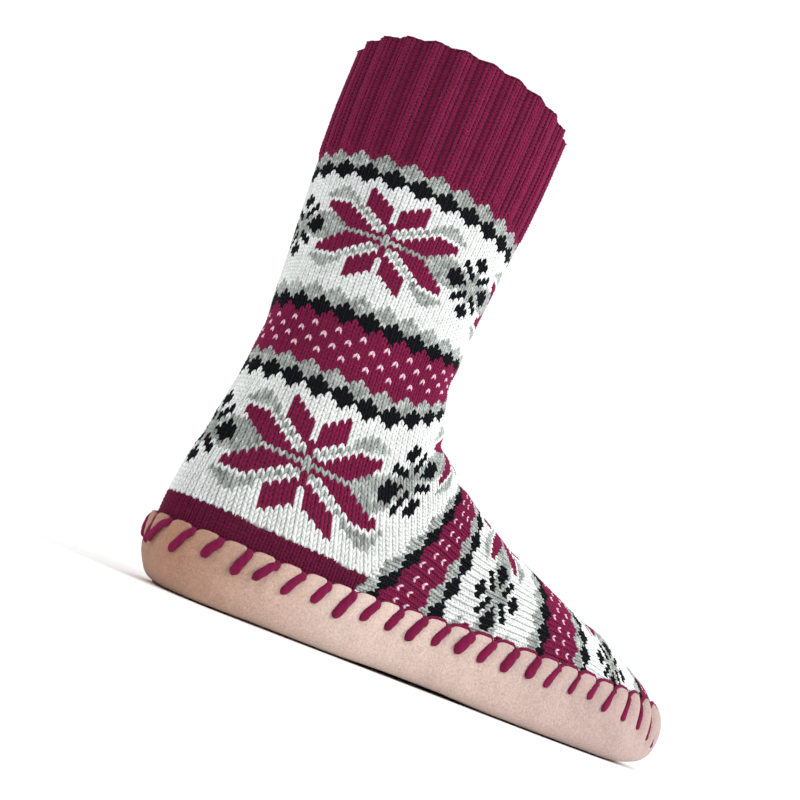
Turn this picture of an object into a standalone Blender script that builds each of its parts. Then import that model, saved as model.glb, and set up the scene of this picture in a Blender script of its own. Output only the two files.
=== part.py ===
"""Boot slipper: a knitted sock with a soft suede sole sewn round its foot.

Every piece is cut from one surface, the outside of the knit on the foot that
it was made for. The surface is a sweep of rings: level ones down the shaft,
fanning round the heel, upright ones along the foot. The side band and the
sole panel are the same surface moved outwards.
"""

import bmesh
import bpy
import numpy as np
from mathutils import Vector

MM = 0.001

# Driving dimensions, in millimetres
FOOT_LENGTH = 246.0  # outside of the knit, from the back of the heel to the toe
HEIGHT = 230.0  # from the floor to the collar
KNIT_WALL = 2.8
SUEDE_WALL = 1.8
PANEL_WALL = 2.0
INSOLE_THICK = 3.0
GAP = 0.3  # between two pieces that meet
FACET_ROOM = 0.15  # more of it between curved pieces, because each is made of flat faces
SEAM_INSET = 7.0  # the panel seam lies this far inside the widest outline
FLAT_Z = PANEL_WALL + GAP  # the knit surface's own flat bottom
BAND_TOP_HEEL = 24.0
BAND_TOP_BALL = 28.0
BAND_TOP_TOE = 25.5
ARCH_RISE = 0.8
HEEL_RISE = 1.6
TOE_RISE = 6.5
BOTTOM_CUT = 6.0  # how far each round section reaches under the flat bottom
BOTTOM_BLEND = 3.0  # the round side turns into the flat bottom over this height

OUTLINE_UP = 10.0  # the widest outline is taken this far over the flat bottom
BAND_REACH_Z = 62.0  # the band, panel and insole are cut from the surface below this

FRONT_STEPS = 9  # round a ring, from the front to the widest point
SIDE_STEPS = 4  # from there to the edge of the flat bottom
BACK_STEPS = 5  # from there to the middle of the bottom
AROUND = 2 * (FRONT_STEPS + SIDE_STEPS + BACK_STEPS)
FINER = 12  # how much finer the rings are that the outline is measured on
SHARP_ANGLE = 0.7  # radians
HEEL_SECTION = 7  # the row of the section at the heel
LEAST_STEP = 3.0  # between the first two rings

# One row for each section. Back is the end at the Achilles and the sole, front
# the end at the shin and the instep. Wide_at is where between them the section
# is widest, and a squareness of 2 is an ellipse. A back_z of None lies on the
# bottom. Rings is how many rings the sweep makes from this section to the next.
COLUMNS = "back_x back_z front_x front_z half_width wide_at back_square front_square rings".split()
SECTIONS = [
    (3.0, 230.0, 98.0, 230.0, 43.0, 0.50, 2.0, 2.0, 1),  # collar
    (3.5, 205.0, 97.0, 205.0, 42.4, 0.50, 2.0, 2.0, 1),
    (6.0, 170.0, 94.0, 170.0, 40.6, 0.50, 2.0, 2.0, 2),  # shaft
    (9.6, 132.0, 91.0, 132.0, 37.8, 0.50, 2.0, 2.0, 2),
    (11.0, 108.0, 92.0, 110.0, 36.4, 0.50, 2.0, 2.0, 2),  # ankle
    (10.0, 87.0, 96.5, 98.0, 36.0, 0.50, 2.0, 2.0, 2),
    (6.6, 66.0, 102.0, 91.5, 36.0, 0.50, 2.0, 2.0, 2),
    (3.4, 46.0, 107.0, 88.0, 35.6, 0.52, 2.05, 2.0, 2),  # heel
    (2.2, 26.0, 111.0, 85.5, 35.2, 0.53, 2.15, 2.0, 3),
    (5.0, 9.0, 114.5, 83.5, 34.8, 0.53, 2.4, 2.0, 4),
    (17.0, None, 118.0, 81.5, 34.8, 0.50, 2.8, 2.0, 2),
    (36.0, None, 122.0, 79.0, 35.2, 0.46, 3.2, 2.0, 2),
    (58.0, None, 127.5, 76.0, 35.8, 0.42, 3.6, 2.0, 2),
    (82.0, None, 135.0, 72.5, 36.6, 0.38, 4.0, 2.0, 2),  # waist
    (106.0, None, 146.0, 68.0, 38.2, 0.36, 4.0, 2.0, 2),  # instep
    (130.0, None, 159.0, 63.0, 40.8, 0.34, 4.0, 2.0, 2),
    (152.0, None, 172.0, 58.0, 43.0, 0.33, 4.0, 2.1, 2),
    (173.0, None, 186.0, 53.0, 43.8, 0.33, 4.0, 2.1, 2),  # ball
    (192.0, None, 200.0, 48.6, 42.8, 0.34, 4.0, 2.2, 2),
    (209.0, None, 212.5, 44.6, 39.8, 0.36, 4.0, 2.2, 2),
    (223.0, None, 224.0, 40.2, 34.4, 0.38, 3.6, 2.3, 2),  # toes
    (234.0, None, 234.5, 35.2, 27.4, 0.42, 3.2, 2.3, 2),
    (242.0, None, 242.3, 29.4, 18.6, 0.48, 2.6, 2.2, 2),
    (246.6, None, 246.8, 22.6, 9.2, 0.50, 2.2, 2.0, 0),
]
TIP = (2.0 + FOOT_LENGTH, 16.0)  # x and z of the toe's end


def smooth_step(value, low, high):
    """0 below low, 1 above high, and a soft rise between."""
    t = np.clip((value - low) / (high - low), 0.0, 1.0)
    return t * t * (3.0 - 2.0 * t)


def bottom_z(x):
    """Height of the knit's flat bottom: heel, arch, ball and toe spring."""
    heel = HEEL_RISE * np.clip((14.0 - x) / 14.0, 0.0, 1.0) ** 2
    arch = ARCH_RISE * smooth_step(x, 72.0, 100.0) * (1.0 - smooth_step(x, 118.0, 146.0))
    toe = TOE_RISE * np.clip((x - 204.0) / 44.0, 0.0, 1.0) ** 2
    return FLAT_Z + heel + arch + toe


def band_top_z(x):
    """Height of the suede's top edge over the floor."""
    rise = (BAND_TOP_BALL - BAND_TOP_HEEL) * smooth_step(x, 50.0, 180.0)
    fall = (BAND_TOP_BALL - BAND_TOP_TOE) * smooth_step(x, 205.0, 248.0)
    return BAND_TOP_HEEL + rise - fall


def catmull_rom(knots, values, at):
    """A smooth curve through values at knots, for every column of values."""
    slopes = np.gradient(values, knots, axis=0)
    i = np.clip(np.searchsorted(knots, at, side="right") - 1, 0, len(knots) - 2)
    span = (knots[i + 1] - knots[i])[:, None]
    t = (at - knots[i])[:, None] / span
    start = values[i] * (2 * t**3 - 3 * t**2 + 1) + slopes[i] * span * (t**3 - 2 * t**2 + t)
    end = values[i + 1] * (3 * t**2 - 2 * t**3) + slopes[i + 1] * span * (t**3 - t**2)
    return start + end


def section_table():
    """The sections as numbers, with the bottom filled in, and each one's place along the sweep."""
    rows = []
    for row in SECTIONS:
        named = dict(zip(COLUMNS, row))
        if named["back_z"] is None:
            named["back_z"] = bottom_z(named["back_x"]) - BOTTOM_CUT
        rows.append([float(named[column]) for column in COLUMNS])
    table = np.array(rows)
    middle = 0.5 * (table[:, 0:2] + table[:, 2:4])
    back_step = np.linalg.norm(np.diff(table[:, 0:2], axis=0), axis=1)
    middle_step = np.linalg.norm(np.diff(middle, axis=0), axis=1)
    place = np.concatenate([[0.0], np.cumsum(0.5 * (back_step + middle_step))])
    return place, table


def evenly(points, count):
    """The line of points again, as count steps of one length, without its last point."""
    steps = np.linalg.norm(np.diff(points, axis=0), axis=1)
    length = np.concatenate([[0.0], np.cumsum(steps)])
    at = np.linspace(0.0, length[-1], count, endpoint=False)
    return np.stack([np.interp(at, length, points[:, k]) for k in range(3)], axis=1)


def section_ring(section, finer=1):
    """Points round one section, from the front and over +Y to the back and round again.

    The widest point and the edge of the flat bottom are always points of the ring.
    """
    back_x, back_z, front_x, front_z, half_width, wide_at, back_square, front_square = section[:8]
    turn = np.linspace(0.0, np.pi, 721)
    c, s = np.cos(turn), np.sin(turn)
    square = np.where(c > 0.0, front_square, back_square)
    reach = np.abs(c) ** (2.0 / square)
    along = np.where(c > 0.0, wide_at + (1.0 - wide_at) * reach, wide_at * (1.0 - reach))
    half = np.stack(
        [
            back_x + (front_x - back_x) * along,
            half_width * np.abs(s) ** (2.0 / square),
            back_z + (front_z - back_z) * along,
        ],
        axis=1,
    )
    floor = bottom_z(half[:, 0])
    over = half[:, 2] - floor
    blend = np.clip(over + BOTTOM_BLEND, 0.0, None) ** 2 / (4.0 * BOTTOM_BLEND)
    half[:, 2] = floor + np.where(over > BOTTOM_BLEND, over, blend)
    arcs = ((0, 360, FRONT_STEPS), (360, 540, SIDE_STEPS), (540, 720, BACK_STEPS))
    side = [evenly(half[start : end + 1], steps * finer) for start, end, steps in arcs]
    side = np.concatenate([*side, half[-1:]])
    other = side[-2:0:-1] * (1.0, -1.0, 1.0)
    return np.concatenate([side, other])


def ring_places(place, table, first_z):
    """Where the rings lie along the sweep, from the height first_z at the back to the toe."""
    places = []
    for k, rings in enumerate(table[:-1, 8].astype(int)):
        places += [place[k] + (place[k + 1] - place[k]) * n / rings for n in range(rings)]
    places = np.array(places + [place[-1]])
    shaft = slice(0, HEEL_SECTION + 1)
    first = np.interp(-first_z, -table[shaft, 1], place[shaft])
    return np.concatenate([[first], places[places > first + LEAST_STEP]])


def knit_surface(first_z, offset=0.0):
    """The knit's outside from first_z down and out to the toe, as a mesh open at the top.

    A positive offset moves it outwards, in millimetres.
    """
    place, table = section_table()
    sections = catmull_rom(place, table, ring_places(place, table, first_z))
    rings = np.array([section_ring(section) for section in sections])
    shape = bmesh.new()
    rows = [[shape.verts.new(point * MM) for point in ring] for ring in rings]
    for upper, lower in zip(rows, rows[1:]):
        for k in range(AROUND):
            n = (k + 1) % AROUND
            shape.faces.new((upper[k], upper[n], lower[n], lower[k]))
    tip = shape.verts.new((TIP[0] * MM, 0.0, TIP[1] * MM))
    for k in range(AROUND):
        shape.faces.new((rows[-1][k], rows[-1][(k + 1) % AROUND], tip))
    bmesh.ops.recalc_face_normals(shape, faces=shape.faces)
    shape.normal_update()
    moved = [vert.co + vert.normal * (offset * MM) for vert in shape.verts]
    for vert, co in zip(shape.verts, moved):
        vert.co = co
    mesh = bpy.data.meshes.new("surface")
    shape.to_mesh(mesh)
    shape.free()
    return mesh


def foot_outline(inset, count=60):
    """The foot's outline a finger's width up, seen from above and moved inwards, as x and y pairs."""
    place, table = section_table()
    sections = catmull_rom(place, table, np.linspace(place[5], place[-1], 300))
    side = []
    for section in sections:
        ring = section_ring(section, FINER)
        ring = ring[: len(ring) // 2 + 1]
        over = ring[:, 2] - bottom_z(ring[:, 0]) - OUTLINE_UP
        crossings = np.nonzero((over[:-1] > 0.0) & (over[1:] <= 0.0))[0]
        if len(crossings):
            k = crossings[-1]
            share = over[k] / (over[k] - over[k + 1])
            side.append(ring[k, :2] + (ring[k + 1, :2] - ring[k, :2]) * share)
    side = np.array(side)
    side = np.concatenate([[(side[0, 0] - 0.4, 0.0)], side, [(TIP[0], 0.0)]])
    length = np.concatenate([[0.0], np.cumsum(np.linalg.norm(np.diff(side, axis=0), axis=1))])
    at = np.linspace(0.0, length[-1], count // 2 + 1)
    even = np.stack([np.interp(at, length, side[:, k]) for k in range(2)], axis=1)
    loop = np.concatenate([even, even[-2:0:-1] * (1.0, -1.0)])
    run = np.roll(loop, -1, axis=0) - np.roll(loop, 1, axis=0)
    outward = np.stack([-run[:, 1], run[:, 0]], axis=1)
    outward /= np.linalg.norm(outward, axis=1)[:, None]
    return loop - outward * inset


def make_material(name, colour, roughness):
    material = bpy.data.materials.new(name)
    material.use_nodes = True
    shader = material.node_tree.nodes["Principled BSDF"]
    shader.inputs["Base Color"].default_value = (*colour, 1.0)
    shader.inputs["Roughness"].default_value = roughness
    shader.inputs["Metallic"].default_value = 0.0
    return material


def make_collection(name):
    collection = bpy.data.collections.new(name)
    bpy.context.scene.collection.children.link(collection)
    return collection


def make_object(name, mesh, collection, material=None):
    obj = bpy.data.objects.new(name, mesh)
    collection.objects.link(obj)
    if material is not None:
        mesh.materials.append(material)
        mesh.shade_smooth()
        mesh.set_sharp_from_angle(angle=SHARP_ANGLE)
    return obj


def make_cutter(name, mesh, collection):
    cutter = make_object(name, mesh, collection)
    cutter.hide_render = True
    cutter.display_type = "WIRE"
    return cutter


def prism_mesh(loop, axis, low, high):
    """A closed solid of a loop of points that are flat across the axis, from low to high along it."""
    shape = bmesh.new()
    ends = []
    for level in (low, high):
        points = [np.insert(point, axis, level) * MM for point in loop]
        ends.append([shape.verts.new(point) for point in points])
    count = len(loop)
    for k in range(count):
        n = (k + 1) % count
        shape.faces.new((ends[0][k], ends[0][n], ends[1][n], ends[1][k]))
    shape.faces.new(ends[0])
    shape.faces.new(ends[1])
    bmesh.ops.recalc_face_normals(shape, faces=shape.faces)
    mesh = bpy.data.meshes.new("prism")
    shape.to_mesh(mesh)
    shape.free()
    return mesh


def side_view_cutter(name, edge, far_z, collection):
    """All of the space between the edge, a height for each x, and far_z."""
    x = np.linspace(-30.0, FOOT_LENGTH + 30.0, 56)
    near = np.stack([x, edge(x)], axis=1)
    loop = np.concatenate([near, [(x[-1], far_z), (x[0], far_z)]])
    return make_cutter(name, prism_mesh(loop, 1, -90.0, 90.0), collection)


def outline_cutter(name, inset, collection):
    loop = foot_outline(inset)
    return make_cutter(name, prism_mesh(loop, 2, -20.0, 60.0), collection)


def boolean(obj, cutter, operation):
    modifier = obj.modifiers.new(f"{operation.lower()} {cutter.name}", "BOOLEAN")
    modifier.operation = operation
    modifier.solver = "EXACT"
    modifier.object = cutter


def thicken(obj, thickness, side):
    """Gives an open surface a wall: side is 1 for outwards and -1 for inwards."""
    modifier = obj.modifiers.new("wall", "SOLIDIFY")
    modifier.thickness = thickness * MM
    modifier.offset = side
    modifier.use_even_offset = False
    modifier.use_quality_normals = True


def make_upper(parts, cutters):
    """The knitted sock: one hollow solid, open at the collar and underneath."""
    material = make_material("knit", (0.28, 0.03, 0.09), 0.95)
    upper = make_object("upper", knit_surface(HEIGHT), parts, material)
    thicken(upper, KNIT_WALL, -1)

    def lower_edge(x):
        return bottom_z(x) + INSOLE_THICK + GAP

    boolean(upper, side_view_cutter("below_knit", lower_edge, -40.0, cutters), "DIFFERENCE")


def make_side_band(parts, cutters):
    """The suede round the side of the foot, turned under to the panel seam."""
    material = make_material("suede band", (0.73, 0.58, 0.46), 0.9)
    surface = knit_surface(BAND_REACH_Z, GAP + FACET_ROOM)
    band = make_object("side_band", surface, parts, material)
    thicken(band, SUEDE_WALL, 1)
    boolean(band, side_view_cutter("above_band", band_top_z, 320.0, cutters), "DIFFERENCE")
    inside_seam = outline_cutter("inside_seam", SEAM_INSET - 0.5 * GAP, cutters)
    boolean(band, inside_seam, "DIFFERENCE")


def make_sole_panel(parts, cutters):
    """The suede underfoot, flat at the heel and the ball, inside the panel seam."""
    material = make_material("suede panel", (0.56, 0.36, 0.27), 0.9)
    surface = knit_surface(BAND_REACH_Z, GAP)
    panel = make_object("sole_panel", surface, parts, material)
    thicken(panel, PANEL_WALL, 1)
    under_seam = outline_cutter("under_seam", SEAM_INSET + 0.5 * GAP, cutters)
    boolean(panel, under_seam, "INTERSECT")

    def clear_of_knit(x):
        return bottom_z(x) + 1.5

    boolean(panel, side_view_cutter("above_panel", clear_of_knit, 320.0, cutters), "DIFFERENCE")


def make_insole(parts, cutters):
    """The felt that lies on the suede inside, out to the side band."""
    material = make_material("felt", (0.5, 0.47, 0.44), 0.95)
    surface = knit_surface(BAND_REACH_Z, -GAP)
    shape = bmesh.new()
    shape.from_mesh(surface)
    bmesh.ops.holes_fill(shape, edges=shape.edges, sides=AROUND)
    bmesh.ops.recalc_face_normals(shape, faces=shape.faces)
    shape.to_mesh(surface)
    shape.free()
    insole = make_object("insole", surface, parts, material)

    def top(x):
        return bottom_z(x) + INSOLE_THICK

    boolean(insole, side_view_cutter("above_insole", top, 320.0, cutters), "DIFFERENCE")


def centre_on_origin(parts):
    """Puts the origin under the middle of the box, on the floor."""
    bpy.context.view_layer.update()
    graph = bpy.context.evaluated_depsgraph_get()
    corners = []
    for obj in parts.objects:
        evaluated = obj.evaluated_get(graph)
        corners += [evaluated.matrix_world @ Vector(corner) for corner in evaluated.bound_box]
    lowest = [min(corner[k] for corner in corners) for k in range(3)]
    highest = [max(corner[k] for corner in corners) for k in range(3)]
    shift = Vector((-0.5 * (lowest[0] + highest[0]), -0.5 * (lowest[1] + highest[1]), -lowest[2]))
    for obj in bpy.data.objects:
        obj.location = shift


def main():
    for obj in list(bpy.data.objects):
        bpy.data.objects.remove(obj, do_unlink=True)
    parts = make_collection("boot slipper")
    cutters = make_collection("cutters")
    make_upper(parts, cutters)
    make_side_band(parts, cutters)
    make_sole_panel(parts, cutters)
    make_insole(parts, cutters)
    centre_on_origin(parts)


main()
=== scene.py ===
"""The looks of a boot slipper: a patterned knitted sock, a suede sole, a blanket stitch, an insole.

Lengths are in millimetres in the slipper's own table frame (x from the back of
the heel, z up from the floor) until a mesh is made, and in metres after that.
The knit is built stitch by stitch on the surface that the CAD pieces follow.
"""

import math

import bpy
import numpy as np
from mathutils import Matrix, Vector
from mathutils.bvhtree import BVHTree


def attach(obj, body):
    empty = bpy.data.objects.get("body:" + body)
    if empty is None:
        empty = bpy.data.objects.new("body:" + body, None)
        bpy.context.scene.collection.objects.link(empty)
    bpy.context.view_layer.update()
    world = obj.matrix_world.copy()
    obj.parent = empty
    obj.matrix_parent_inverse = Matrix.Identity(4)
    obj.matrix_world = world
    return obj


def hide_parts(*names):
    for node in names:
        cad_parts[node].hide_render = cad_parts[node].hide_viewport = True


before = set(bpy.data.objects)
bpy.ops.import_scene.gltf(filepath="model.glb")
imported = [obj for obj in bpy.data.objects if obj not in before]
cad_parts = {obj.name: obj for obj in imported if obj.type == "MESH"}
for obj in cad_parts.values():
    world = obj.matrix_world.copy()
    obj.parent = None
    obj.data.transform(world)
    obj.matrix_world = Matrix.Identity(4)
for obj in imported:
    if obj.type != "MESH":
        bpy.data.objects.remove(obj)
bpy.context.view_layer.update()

MM = 0.001
CENTRE_X = 125.1  # the table's x of the frame's origin
UP = np.array([0.0, 0.0, 1.0])
SEED = 11
rng = np.random.default_rng(SEED)

# The surface of the knit, as in the CAD model
FOOT_LENGTH = 246
FLAT_Z = 2.3
BAND_TOP_HEEL, BAND_TOP_BALL, BAND_TOP_TOE = 24, 28, 25.5
BAND_RISES, BAND_FALLS = (50, 180), (205, 248)
HEEL_RISE, HEEL_CURVE = 1.6, 14
ARCH_RISE, ARCH_STARTS, ARCH_ENDS = 0.8, (72, 100), (118, 146)
TOE_RISE, TOE_FROM, TOE_CURVE = 6.5, 204, 44
BOTTOM_CUT, BOTTOM_BLEND = 6, 3
TIP = np.array([2 + FOOT_LENGTH, 0, 16])
TIP_RINGS = (0.3, 0.6, 0.85, 0.97)  # shares of the way to the tip
# back_x back_z front_x front_z half_width wide_at back_square front_square
SECTIONS = [
    (3, 230, 98, 230, 43, 0.5, 2, 2),
    (3.5, 205, 97, 205, 42.4, 0.5, 2, 2),
    (6, 170, 94, 170, 40.6, 0.5, 2, 2),
    (9.6, 132, 91, 132, 37.8, 0.5, 2, 2),
    (11, 108, 92, 110, 36.4, 0.5, 2, 2),
    (10, 87, 96.5, 98, 36, 0.5, 2, 2),
    (6.6, 66, 102, 91.5, 36, 0.5, 2, 2),
    (3.4, 46, 107, 88, 35.6, 0.52, 2.05, 2),
    (2.2, 26, 111, 85.5, 35.2, 0.53, 2.15, 2),
    (5, 9, 114.5, 83.5, 34.8, 0.53, 2.4, 2),
    (17, None, 118, 81.5, 34.8, 0.5, 2.8, 2),
    (36, None, 122, 79, 35.2, 0.46, 3.2, 2),
    (58, None, 127.5, 76, 35.8, 0.42, 3.6, 2),
    (82, None, 135, 72.5, 36.6, 0.38, 4, 2),
    (106, None, 146, 68, 38.2, 0.36, 4, 2),
    (130, None, 159, 63, 40.8, 0.34, 4, 2),
    (152, None, 172, 58, 43, 0.33, 4, 2.1),
    (173, None, 186, 53, 43.8, 0.33, 4, 2.1),
    (192, None, 200, 48.6, 42.8, 0.34, 4, 2.2),
    (209, None, 212.5, 44.6, 39.8, 0.36, 4, 2.2),
    (223, None, 224, 40.2, 34.4, 0.38, 3.6, 2.3),
    (234, None, 234.5, 35.2, 27.4, 0.42, 3.2, 2.3),
    (242, None, 242.3, 29.4, 18.6, 0.48, 2.6, 2.2),
    (246.6, None, 246.8, 22.6, 9.2, 0.5, 2.2, 2),
]
SWEEP = 640  # sections of the fine surface
TURNS = 181  # points from the front to the back of each
FINE_TURNS = 721  # and before they are spaced evenly

# Soft creases of the worn knit: a line in the side view through x, z at an angle from +X,
# depth (a ridge is negative), half-width, and how far round from the front it fades out
CREASE_WHOLE = 0.35  # the share of that way before it starts to fade
CREASES = [
    (100, 97, 38, 1.7, 3.6, 0.42),
    (106, 104, 30, -0.9, 4, 0.36),
    (113, 84, 52, 1.5, 3.6, 0.36),
    (95, 118, 20, 1, 4.5, 0.3),
    (146, 66, 74, 0.8, 6, 0.3),
    (208, 45, 80, 1.6, 4.5, 0.4),
    (199, 47, 82, -0.9, 5, 0.36),
    (222, 40, 84, 0.9, 4, 0.34),
    (60, 104, -8, 0.7, 7, 1),
    (20, 66, 18, 0.6, 6, 1),
]

# The knit: wales round it, and the bands of rows with where each band's last row lies
WALES = 96
REPEAT = 32  # wales from star to star
GORE_X, GORE_Z = 74, 32  # the front tip of the heel wedge
GORE_WALE = 22.5
GORE_BLEND = 45  # rows over which wales even out above the gore
TOE_BLEND = (62, 105)  # and the rows below it
FOOT_WALE = 20.6  # the wale at the suede further down the foot
KNEE_BLEND = (4, 30)  # rows below the gore over which it changes from the one to the other
COLLAR = (230, 0, 230, 98, 40, 1.6)  # the first line's values, as a band's below
RISE_LIMIT = 1.4  # lines stop rising this share of the way to the front
# pattern, rows, side_z, back_slope, front_z, front_x, rise_from, rise_power
LEG_BANDS = [
    ("cuff", 32, 181, 0, 181, 95, 40, 1.6),
    ("zigzag", 6, 172, 0, 172.5, 94, 40, 1.6),
    ("star", 29, 126.5, -0.01, 130, 91, 40, 1.7),
    ("zigzag", 6, 117, -0.015, 125, 91, 42, 1.7),
    ("lice", 12, 96.5, -0.035, 114, 92, 48, 1.7),
    ("zigzag", 6, 86.5, -0.05, 109, 93, 50, 1.6),
    ("star", 29, 32, -0.04, 87, 110, 74, 1),
]
# pattern, rows, x at the suede's edge, tilt in degrees
FOOT_BANDS = [
    ("zigzag", 6, 83, 59),
    ("lice", 12, 99.5, 66),
    ("zigzag", 6, 108.3, 69.5),
    ("star", 29, 148.5, 80),
    ("zigzag", 6, 156.4, 82),
    ("lice", 12, 172.3, 84),
    ("zigzag", 6, 180, 86),
    ("star", 29, 213, 89),
    ("zigzag", 6, 220, 90),
    ("lice", 12, 232, 90),
    ("zigzag", 6, 238.5, 90),
    ("plain", 7, 245.5, 90),
]
START_TILT = 55.5
STAR_MIDDLE = 14  # the middle row of a star's band
# One line a row from there out, one letter a wale from the star's middle to the snowflake's:
# M magenta, g grey, k black and . white
STAR_CHART = [
    "gggggggggggkkkkgg",
    "gMMMMMMggggkkkggg",
    "Mg.MMMMMggggkggkg",
    "M.g.MMMMMgggg.kkg",
    "MM.g.MMMMM...kk.g",
    ".MM.g.MMMMM..k..k",
    ".MMM.g.MMMM....kk",
    ".MMMM.g........kk",
    ".MMMM.gggggg....k",
    "..MMM..gggg......",
    "...MM...gg.......",
    "....M............",
]
ZIGZAG = (0, 1, 2, 1)  # how many rows each wale of four is late
ZIGZAG_GREY = 5  # rows of a zigzag's band before its black
LICE = {2: (3, 7), 0: (5, 9)}  # the rows with a fleck, by how late the wale is

YARNS = {
    "M": (0.208, 0.0100, 0.0585),
    ".": (0.80, 0.83, 0.815),
    "g": (0.385, 0.415, 0.395),
    "k": (0.003, 0.004, 0.006),
    "p": (0.80, 0.55, 0.62),
}
MAGENTA = np.array([YARNS["M"]])
HOLE_SHADE = 0.5  # the ground behind the stitches against their own yarn, darker as painted shade in the holes
# The lining and the ground's rim are darker than their yarn: painted shade inside the leg and under
# the rim's chain
LINING_SHADE, RIM_SHADE = 0.5, 0.8
ROOT_SHADE = 0.86  # the foot of each stitch leg: painted shade where it tucks under
HOLLOW_FILL = 0.6  # how much the palest yarn makes up for both: less painted shade where light fills pale yarn's hollows
SIDE_SHADE = 0.84  # the ends of a leg's ridge: painted shade
# Painted shade: the heel's wedge and the cuff's purl wales darker than their yarn; the blanket
# stitch's yarn is a darker magenta
HEEL_SHADE, PURL_SHADE, STITCH_SHADE = 0.64, 0.8, 0.9
MELANGE, MELANGE_PALE = 0.13, 0.04  # how much grey stitches differ, and how much paler they are
JITTER, WIDTH_SPREAD, RIDGE_SPREAD, SHADE_SPREAD = 0.022, 0.06, 0.09, 0.05
KNIT_DEPTH = 0.35  # the ground lies this far under the CAD surface
LINING_DEPTH = 2.3
RIB_DEPTH, RIB_FADE = 0.8, (-2, 0.5)  # the rib fades over these rows at the cuff's end
PURL_WIDE, PURL_TALL = 1.05, 0.62
RIM_RISE, RIM_WIDE, RIM_LONG = 0.7, 2.2, 1.15
RIM_RINGS = (0.2, 0.5, 0.8)  # shares of the way from the outside to the lining
UNDER_SUEDE = 4  # the stitches go this far behind the suede's edge
LEG_HALF_ROWS, FOOT_HALF_ROWS = 44, 66  # where the leg's and the foot's knit is split in two
HEEL_TOP, HEEL_ROW, HEEL_WALE, HEEL_REACH = 47, 1.5, 2.7, 96
HEEL_GAP = 0.35  # of a heel row, under the leg's last line
GROUND_DOWN, GROUND_ROUND = 260, 160
GROUND_STOP = 3.3  # the knit ends this far over the bottom of its surface
# Of one stitch leg, from its foot to its head: how far out in wales, how far up in rows,
# half its width, and the height of its ridge
LEG_RINGS = [(0.44, -0.76, 0.54, 0), (0.28, 0, 0.86, 0.42), (0.09, 0.70, 0.49, 0.13)]
LEG_FOOT = -0.36

# Suede: pairs of values hold along the side and round the toe
GATHERED = (192, 226)  # the x between which the side turns into the toe
STITCHES = 54
COLUMNS = 14  # of the band's mesh to each stitch
BAND_AROUND = STITCHES * COLUMNS
STITCH_PITCH = 10.7
OUTLINE_UP = 10
OUTLINE_SOFT = 250  # the outline's length over how far its points are averaged
BAND_OFFSET, UNDER_OFFSET = 2.2, 1.75
SUEDE_WALL = 1.7
HEEL_TIP = 0.4  # the outline starts this far behind its first point
SEAM_INSET, SEAM_GAP = 7, 0.75
PROFILE_UP, PROFILE_UNDER, PROFILE_POWER = 13, 12, 1.15
UNDER_FACES = (0.3, 0.95)  # how far down the suede faces where its side turns into its underside
EDGE_TURNS = np.radians([25, 50, 75, 105, 135, 160])
BACKING_ROWS = [0, 3, 6, 9, 12, 16, 20, -1]
SCALLOP, TAB_POWER, TAB_LEAN, TAB_LEVEL = (2, 3), (4, 2.5), 1.3, 0.8
TAB_PUFF, FOLD_PUFF = (0.35, 1.45), (0.6, 0)
FOLD_PHASE, FOLD_WIDE = 0.83, 0.07
GROOVE_DEEP, GROOVE_WIDE = (0.5, 1), 1.7
HEM_DEEP, HEM_WIDE = (0.15, 0.5), 2.2
GATHER_REACH = (11.5, 13.5)
GROOVE_ENDS, PUFF_ENDS = (0.72, 1.12), (0.55, 1.9)  # shares of that reach
RIPPLE = 0.22

# The blanket stitch
STITCH_SLANT = (0.44, 0)  # how far the lower end of a leg leans to the heel
LEG_LEAN = (0.44, 0.044)
LEG_LONG, LONG_SPREAD, WIDE_SPREAD, LEAN_SPREAD = (9.7, 12.6), 0.07, (0.08, 0.14), 0.18
THINNER = (135, 195)  # the x between which the legs turn from thick to thin
LEG_WIDE, LEG_THICK, LEG_TOP = (1.85, 1.25), 0.62, (0.84, 0.54)
LEG_LIFT = 0.48
LEG_PLACES, LEG_SIDES = 28, 14
LEG_OVER = 2.3  # how far round the suede's edge a leg turns, in radians
TWIST = 0.06
RUN_SIDES, RUN_RADIUS, RUN_PLIES = 10, 0.85, 0.12
RUN_SEEN = (70, 125)  # the x between which the run comes out from behind the edge

# Under the foot and inside
SEAM_STITCHES, SEAM_STEPS, SEAM_POINTS = 190, 8, 6
THREAD_RADIUS, THREAD_SIDES, THREAD_WANDER = 0.27, 6, 0.06
THREAD_SUNK, THREAD_OUT = 0.25, 0.3
PANEL_HEIGHTS = (-UNDER_OFFSET, -0.3)  # over the bottom of the knit's surface
INSOLE_INSET, INSOLE_HEIGHTS = 6, (0.3, 3)
PAD_AROUND, PAD_ACROSS = 240, 36
DOT_SIDES, DOT_ROWS = 12, 5
DOT_ALONG, DOT_ACROSS, DOT_MARGIN = 8.7, 8, 3.4
DOT_RINGS = [(0.98, 0.15), (0.90, -0.22), (0.62, -0.46), (0.25, -0.55)]
DOT_TIPS = (0.15, -0.56)

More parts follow.
